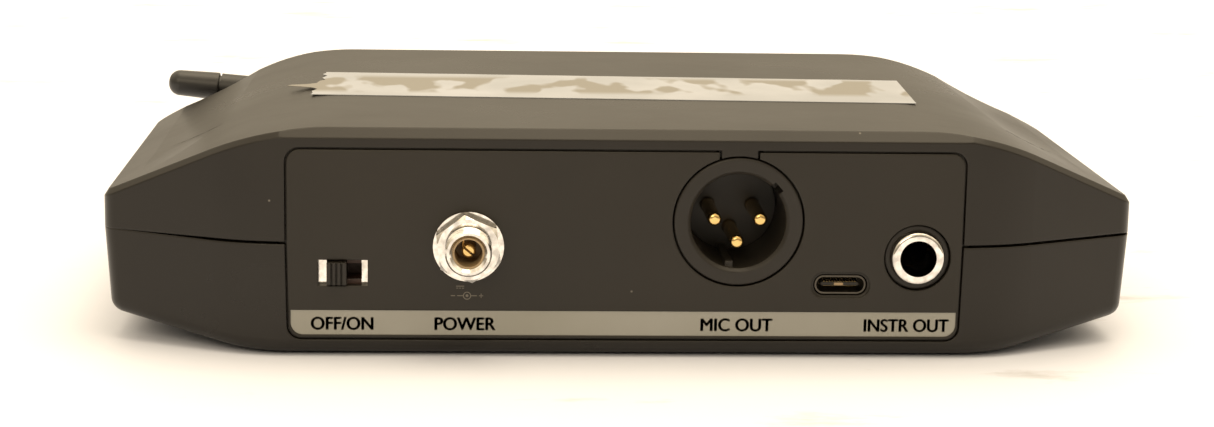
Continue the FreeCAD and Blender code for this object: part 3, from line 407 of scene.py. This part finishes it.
# Tape on the lid, in its own frame: length along u, width along v, middle at the origin.
TAPE_TURN, TAPE_MIDDLE = math.radians(-2.3), Vector((0.0, -1.6))
TAPE_LOW, TAPE_HIGH = 40.005, 40.115
TAPE_HALF_U, TAPE_HALF_V = 56.0, 14.75
TORN_END = ((-55.7, 13.4), (-56.3, 11.6), (-55.2, 9.8), (-55.9, 6.9), (-55.1, 4.4), (-56.0, 2.5),
            (-56.3, -0.4), (-58.0, -2.1), (-60.9, -3.2), (-61.4, -4.4), (-58.8, -5.2), (-56.8, -6.0),
            (-56.0, -6.9), (-55.4, -8.0), (-56.2, -10.6), (-55.8, -13.0))


def tape_outline():
    """Straight near edge, clean right end, slightly wavy far edge, torn left end with a tail."""
    points = []
    steps = 60
    for k in range(steps + 1):
        u = -TAPE_HALF_U + 2 * TAPE_HALF_U * k / steps
        points.append((u, -TAPE_HALF_V + 0.06 * noise.noise(Vector((u * 0.4, 3.0, 0.0)))))
    for k in range(steps + 1):
        u = TAPE_HALF_U - 2 * TAPE_HALF_U * k / steps
        points.append((u, TAPE_HALF_V - 0.2 + 0.35 * noise.noise(Vector((u * 0.12, 9.0, 0.0)))))
    return points + list(TORN_END)


def make_tape():
    turn = Matrix.Rotation(TAPE_TURN, 2)

    def to_world(u, v, level):
        flat = turn @ Vector((u, v)) + TAPE_MIDDLE
        return Vector((flat.x, flat.y, level)) * MM

    bm = bmesh.new()
    add_slab(bm, tape_outline(), TAPE_LOW, TAPE_HIGH, to_world)
    piece = add_piece("top_label_tape_worn", mesh_from(bm, "tape"), TAPE, "receiver")
    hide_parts("top_label_tape")


# Slot of the power switch: left and right ends, middle Z, and the dust strips beside the slider.
SLOT_LEFT, SLOT_RIGHT, SLOT_Z = -51.7, -45.7, 14.82
STRIP_NEAR, STRIP_FAR = 1.42, 2.26


def make_switch_cover():
    """Dark dust strips above and below the slot of the power switch."""
    bm = bmesh.new()
    for side in (-1, 1):
        add_box(bm, SLOT_LEFT, SLOT_RIGHT, -50.5, -50.41,
                SLOT_Z + side * STRIP_NEAR, SLOT_Z + side * STRIP_FAR)
    strips = mesh_from(bm, "dust_strips")
    add_piece("switch_dust_strips", strips, SWITCH_BROWN, "receiver")


# USB socket: its middle, and the contacts along both faces of the tongue.
USB_X, USB_Z = 37.4, 13.05
CONTACTS, CONTACT_PITCH, CONTACT_HALF_W = 12, 0.5, 0.12


def make_usb_contacts():
    """Rows of contacts on both faces of the USB tongue, and the bare plastic of its tip."""
    bm = bmesh.new()
    for k in range(CONTACTS):
        x = USB_X + (k - (CONTACTS - 1) / 2) * CONTACT_PITCH
        for side in (-1, 1):
            add_box(bm, x - CONTACT_HALF_W, x + CONTACT_HALF_W, -50.5, -46.0,
                    USB_Z + side * 0.36, USB_Z + side * 0.39)
    add_piece("usb_contacts", mesh_from(bm, "usb_contacts"), GOLD, "receiver")
    bm = bmesh.new()
    add_box(bm, 36.4, 38.0, -50.75, -50.62, 12.8, 13.25)
    tip = mesh_from(bm, "usb_tongue_tip")
    add_piece("usb_tongue_tip", tip, LINER_TAN, "receiver")


INLET_X, INLET_Z = -27.3, 19.7       # axis of the power inlet


def make_inlet_liner():
    """Tan plastic liner of the power inlet's bore, and the floor it leaves around the pin."""
    bm = bmesh.new()
    add_ring(bm, INLET_X, INLET_Z, 2.4, 2.74, -58.3, -50.6)
    add_ring(bm, INLET_X, INLET_Z, 1.3, 2.5, -51.6, -50.8)
    add_piece("dc_jack_liner", mesh_from(bm, "dc_liner"), LINER_TAN, "receiver")


# Outline of the connector panel, in millimetres, and the shell tab that breaks its top edge.
PANEL_HALF, PANEL_FOOT_HALF, PANEL_TOP, PANEL_BOTTOM, PANEL_R = 58.4, 58.1, 36.3, 3.4, 2.2
TAB_LEFT, TAB_RIGHT = 15.7, 22.7
TAB_CLEAR = 0.6            # the lip stops this far from the tab
ARC_STEPS = 8              # per corner
SEAL_INNER, SEAL_OUTER, SEAL_FACE_Y, SEAL_BACK_Y = 0.04, 0.36, -51.5, -50.7


def panel_path(grow):
    """The panel's edge moved outwards, from the right of the tab all the way round to its left."""
    high, low = PANEL_TOP - PANEL_R, PANEL_BOTTOM + PANEL_R
    top, foot = PANEL_HALF - PANEL_R, PANEL_FOOT_HALF - PANEL_R
    radius = PANEL_R + grow
    points = [(TAB_RIGHT + TAB_CLEAR, PANEL_TOP + grow)]
    for k, (x, z) in enumerate(((top, high), (foot, low), (-foot, low), (-top, high))):
        for step in range(ARC_STEPS + 1):
            angle = math.radians(90 - 90 * k - 90 * step / ARC_STEPS)
            points.append((x + radius * math.cos(angle), z + radius * math.sin(angle)))
    return points + [(TAB_LEFT - TAB_CLEAR, PANEL_TOP + grow)]


def make_panel_seal():
    """Plastic lip partly filling the gap around the connector panel."""
    bm = bmesh.new()
    outline = panel_path(SEAL_INNER) + panel_path(SEAL_OUTER)[::-1]
    add_slab(bm, outline, SEAL_FACE_Y, SEAL_BACK_Y, facing_panel)
    add_piece("panel_seal", mesh_from(bm, "panel_seal"), CASE, "receiver")


def make_button_marks():
    """Up and down triangles on the two level buttons."""
    z = 14.0
    for name, x, point in (("level_up_button", -18.0, 1), ("level_down_button", -32.0, -1)):
        outline = [(x - 1.2, z - 0.8 * point), (x + 1.2, z - 0.8 * point), (x, z + 1.1 * point)]
        bm = bmesh.new()
        add_slab(bm, outline, 52.49, 52.52, facing_panel)
        add_piece("mark_" + name, mesh_from(bm, name), PRINT_FAINT, name)


make_words()
make_polarity_mark()
make_tape()
make_switch_cover()
make_usb_contacts()
make_inlet_liner()
make_panel_seal()
make_button_marks()


# ---------------------------------------------------------------- camera, floor and light
CAMERA_AT = Vector((-27.7, -480.3, 110.4)) * MM
CAMERA_TURN, CAMERA_TILT, CAMERA_ROLL = -3.23, 11.19, 1.0     # degrees
CAMERA_LENS, SENSOR_WIDTH = 75.32, 36.0


def make_camera():
    data = bpy.data.cameras.new("camera")
    data.lens, data.sensor_width, data.sensor_fit = CAMERA_LENS, SENSOR_WIDTH, "HORIZONTAL"
    data.clip_start = 0.01
    camera = bpy.data.objects.new("camera", data)
    bpy.context.scene.collection.objects.link(camera)
    turn = Matrix.Rotation(math.radians(CAMERA_TURN), 4, "Z")
    tilt = Matrix.Rotation(math.radians(90 - CAMERA_TILT), 4, "X")
    roll = Matrix.Rotation(math.radians(CAMERA_ROLL), 4, "Z")
    camera.matrix_world = Matrix.Translation(CAMERA_AT) @ turn @ tilt @ roll
    bpy.context.scene.camera = camera


def make_floor():
    bpy.ops.mesh.primitive_plane_add(size=12.0)
    floor = bpy.context.object
    floor.name = "floor"
    material, tree, shader, coords = new_material("floor_paper")
    cloud = noise_node(tree, coords, 9.0, 5.0, 0.6, stretch=(1.0, 3.0, 1.0))
    paper = mix_colours(tree, cloud, (0.76, 0.79, 0.90), (0.82, 0.85, 0.97))
    streaks = noise_node(tree, coords, 26.0, 7.0, 0.65, stretch=(0.6, 1.6, 1.0))
    scuffs = ramp_node(tree, streaks, 0.60, 0.72, 0.0, 1.0)
    link(tree, mix_colours(tree, scuffs, paper, (0.54, 0.54, 0.58)), shader.inputs["Base Color"])
    shader.inputs["Roughness"].default_value = 0.55
    floor.data.materials.append(material)


def area_light(name, place, target, size, power, colour):
    data = bpy.data.lights.new(name, "AREA")
    data.shape, data.size, data.size_y = "RECTANGLE", size[0], size[1]
    data.energy, data.color = power, colour
    light = bpy.data.objects.new(name, data)
    light.location = place
    light.rotation_euler = (Vector(target) - Vector(place)).to_track_quat("-Z", "Y").to_euler()
    bpy.context.scene.collection.objects.link(light)


WARM = (1.0, 0.85, 0.62)


def sky_factor(tree, axis, start, end, low, high):
    """A strength that changes with one component of the direction looked in."""
    node = tree.nodes.new("ShaderNodeMapRange")
    node.interpolation_type = "SMOOTHSTEP"
    node.inputs["From Min"].default_value, node.inputs["From Max"].default_value = start, end
    node.inputs["To Min"].default_value, node.inputs["To Max"].default_value = low, high
    link(tree, axis, node.inputs["Value"])
    return node.outputs["Result"]


WORLD_BY_HEIGHT = (0.10, 0.7, 0.60, 1.8)      # from and to direction Z, strength at each
WORLD_BY_DEPTH = (-0.7, 0.3, 0.55, 1.0)       # from and to direction Y, factor at each


def make_light():
    """A warm studio: dim near the horizon and behind the camera, bright overhead."""
    world = bpy.data.worlds.new("studio")
    world.use_nodes = True
    tree = world.node_tree
    background = next(n for n in tree.nodes if n.type == "BACKGROUND")
    background.inputs["Color"].default_value = as_colour(WARM)
    direction = tree.nodes.new("ShaderNodeTexCoord").outputs["Generated"]
    split = tree.nodes.new("ShaderNodeSeparateXYZ")
    link(tree, direction, split.inputs["Vector"])
    product = tree.nodes.new("ShaderNodeMath")
    product.operation = "MULTIPLY"
    link(tree, sky_factor(tree, split.outputs["Z"], *WORLD_BY_HEIGHT), product.inputs[0])
    link(tree, sky_factor(tree, split.outputs["Y"], *WORLD_BY_DEPTH), product.inputs[1])
    link(tree, product.outputs["Value"], background.inputs["Strength"])
    bpy.context.scene.world = world
    area_light("key", (0.15, 0.1, 1.3), (0, 0, 0), (1.2, 1.0), 12.0, WARM)
    area_light("front_fill", (-0.5, -1.3, 0.9), (0, 0, 0.02), (0.8, 0.6), 6.0, WARM)
    bpy.context.scene.view_settings.view_transform = "Standard"


make_camera()
make_floor()
make_light()
